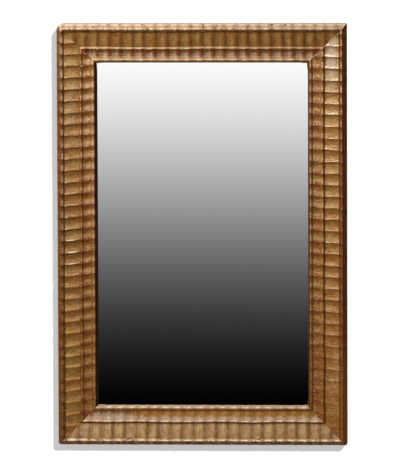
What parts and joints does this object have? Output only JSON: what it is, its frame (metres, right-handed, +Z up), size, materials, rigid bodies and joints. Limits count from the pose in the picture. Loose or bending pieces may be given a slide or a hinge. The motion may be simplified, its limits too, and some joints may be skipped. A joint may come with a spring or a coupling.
{
  "type": "framed wall mirror",
  "caption": "Upright rectangular wall mirror in a worn gilt frame of rippled mouldings, with a boarded back and ring hangers.",
  "frame": {"origin": "centre of the back, in the plane that meets the wall", "axes": "+Y out of the back towards the wall, so the glass faces -Y; +Z up; +X to the right seen from the front"},
  "size_m": [0.61, 0.0582, 0.89],
  "materials": {
    "gilt_moulding": "worn gold leaf over red clay and gesso on carved wood",
    "carcass_wood": "old planed softwood, unfinished",
    "backboard_wood": "old sawn softwood boards, unfinished",
    "mirror_glass": "clear glass silvered on its back",
    "iron": "dull dark iron",
    "hanger_brass": "tarnished brass"
  },
  "bodies": {
    "frame": {"bottom_outer_bead": "gilt_moulding", "bottom_ripple_band": "gilt_moulding", "bottom_inner_cove": "gilt_moulding", "bottom_sight_slip": "gilt_moulding", "right_outer_bead": "gilt_moulding", "right_ripple_band": "gilt_moulding", "right_inner_cove": "gilt_moulding", "right_sight_slip": "gilt_moulding", "top_outer_bead": "gilt_moulding", "top_ripple_band": "gilt_moulding", "top_inner_cove": "gilt_moulding", "top_sight_slip": "gilt_moulding", "left_outer_bead": "gilt_moulding", "left_ripple_band": "gilt_moulding", "left_inner_cove": "gilt_moulding", "left_sight_slip": "gilt_moulding", "left_stile": "carcass_wood", "right_stile": "carcass_wood", "top_rail": "carcass_wood", "bottom_rail": "carcass_wood", "bottom_glass_fillet": "carcass_wood", "right_glass_fillet": "carcass_wood", "top_glass_fillet": "carcass_wood", "left_glass_fillet": "carcass_wood", "backboard_left": "backboard_wood", "backboard_centre": "backboard_wood", "backboard_right": "backboard_wood", "left_hanger_strap": "hanger_brass", "right_hanger_strap": "hanger_brass", "corner_pegs": "carcass_wood", "mirror_plate": "mirror_glass", "backboard_nails": "iron", "hanger_screws": "hanger_brass"},
    "left_ring": {"left_hanger_ring": "hanger_brass"},
    "right_ring": {"right_hanger_ring": "hanger_brass"}
  },
  "joints": [
    {"name": "left_ring_swing", "type": "hinge", "parent": "frame", "child": "left_ring", "pos_m": [-0.266, 0.0034, 0.22], "axis": [1, 0, 0], "range_deg": [0, 180]},
    {"name": "right_ring_swing", "type": "hinge", "parent": "frame", "child": "right_ring", "pos_m": [0.266, 0.0034, 0.22], "axis": [1, 0, 0], "range_deg": [0, 180]}
  ]
}
